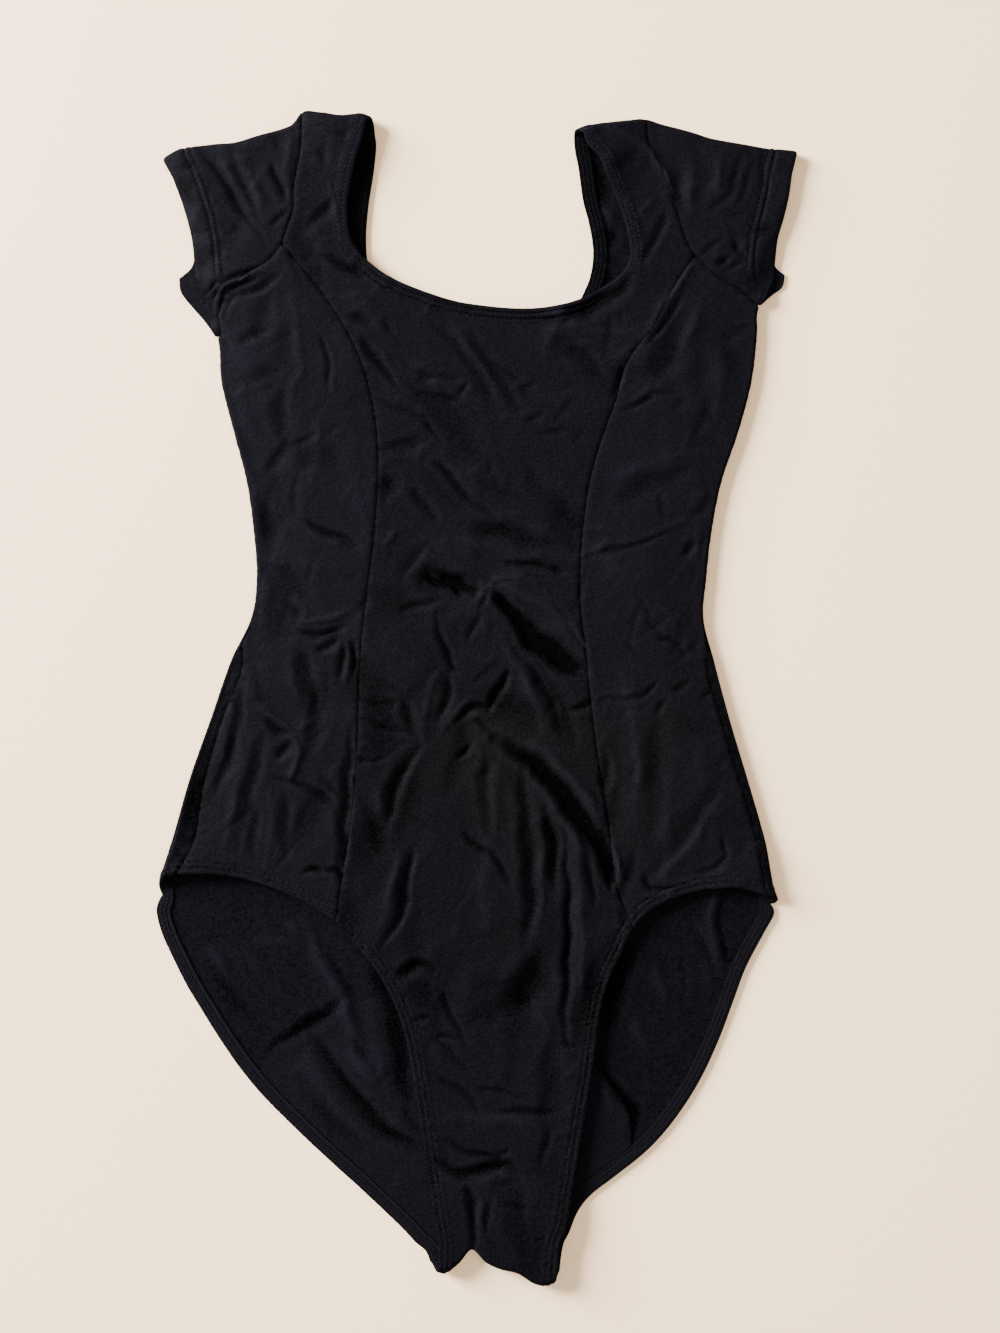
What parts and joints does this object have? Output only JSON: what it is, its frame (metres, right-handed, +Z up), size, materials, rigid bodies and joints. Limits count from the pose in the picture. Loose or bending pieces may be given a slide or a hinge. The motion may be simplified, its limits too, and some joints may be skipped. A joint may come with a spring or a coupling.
{
  "type": "leotard",
  "caption": "Short-sleeved dance leotard with a scoop neck and front princess seams, laid flat on its back as a folded tube of thin stretch knit.",
  "frame": {"origin": "centre of the outline seen from above, on the surface the garment lies on", "axes": "+X to the right of the garment as seen from above, +Y towards its shoulders, +Z up from the surface"},
  "size_m": [0.3655, 0.6689, 0.0085],
  "materials": {
    "stretch_knit": "matte to softly sheeny fine tricot",
    "casing_knit": "matte inner side of the same tricot"
  },
  "bodies": {
    "root": {"front_centre": "stretch_knit", "front_side_left": "stretch_knit", "front_side_right": "stretch_knit", "back": "stretch_knit", "sleeve_left": "stretch_knit", "sleeve_right": "stretch_knit", "neck_casing": "casing_knit", "leg_casing_left": "casing_knit", "leg_casing_right": "casing_knit", "gusset_lining": "casing_knit"}
  },
  "joints": []
}
